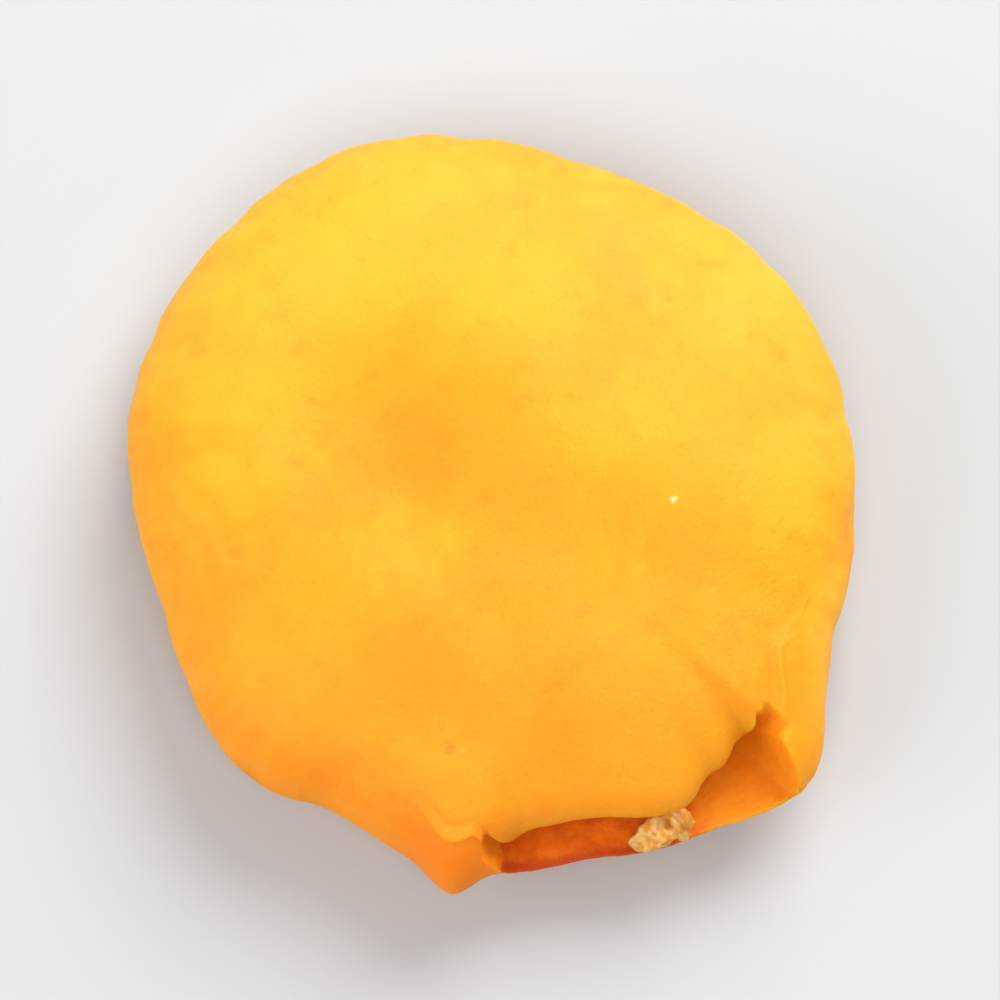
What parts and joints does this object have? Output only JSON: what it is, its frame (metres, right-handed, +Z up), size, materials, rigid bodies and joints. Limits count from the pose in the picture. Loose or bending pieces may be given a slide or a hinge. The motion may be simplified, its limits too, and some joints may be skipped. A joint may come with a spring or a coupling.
{
  "type": "dried apricot",
  "caption": "Whole pitted dried apricot: a soft, flattened, bright orange disc of fruit with a torn stem end that gapes a little.",
  "frame": {"origin": "on the surface that the fruit lies on, under the middle of its outline", "axes": "+Z up through the upper face, -Y towards the torn stem end, +Y towards the tip"},
  "size_m": [0.036, 0.0396, 0.0101],
  "materials": {
    "flesh": "satin, smooth dried fruit skin, slightly translucent"
  },
  "bodies": {
    "root": {"apricot": "flesh"}
  },
  "joints": []
}
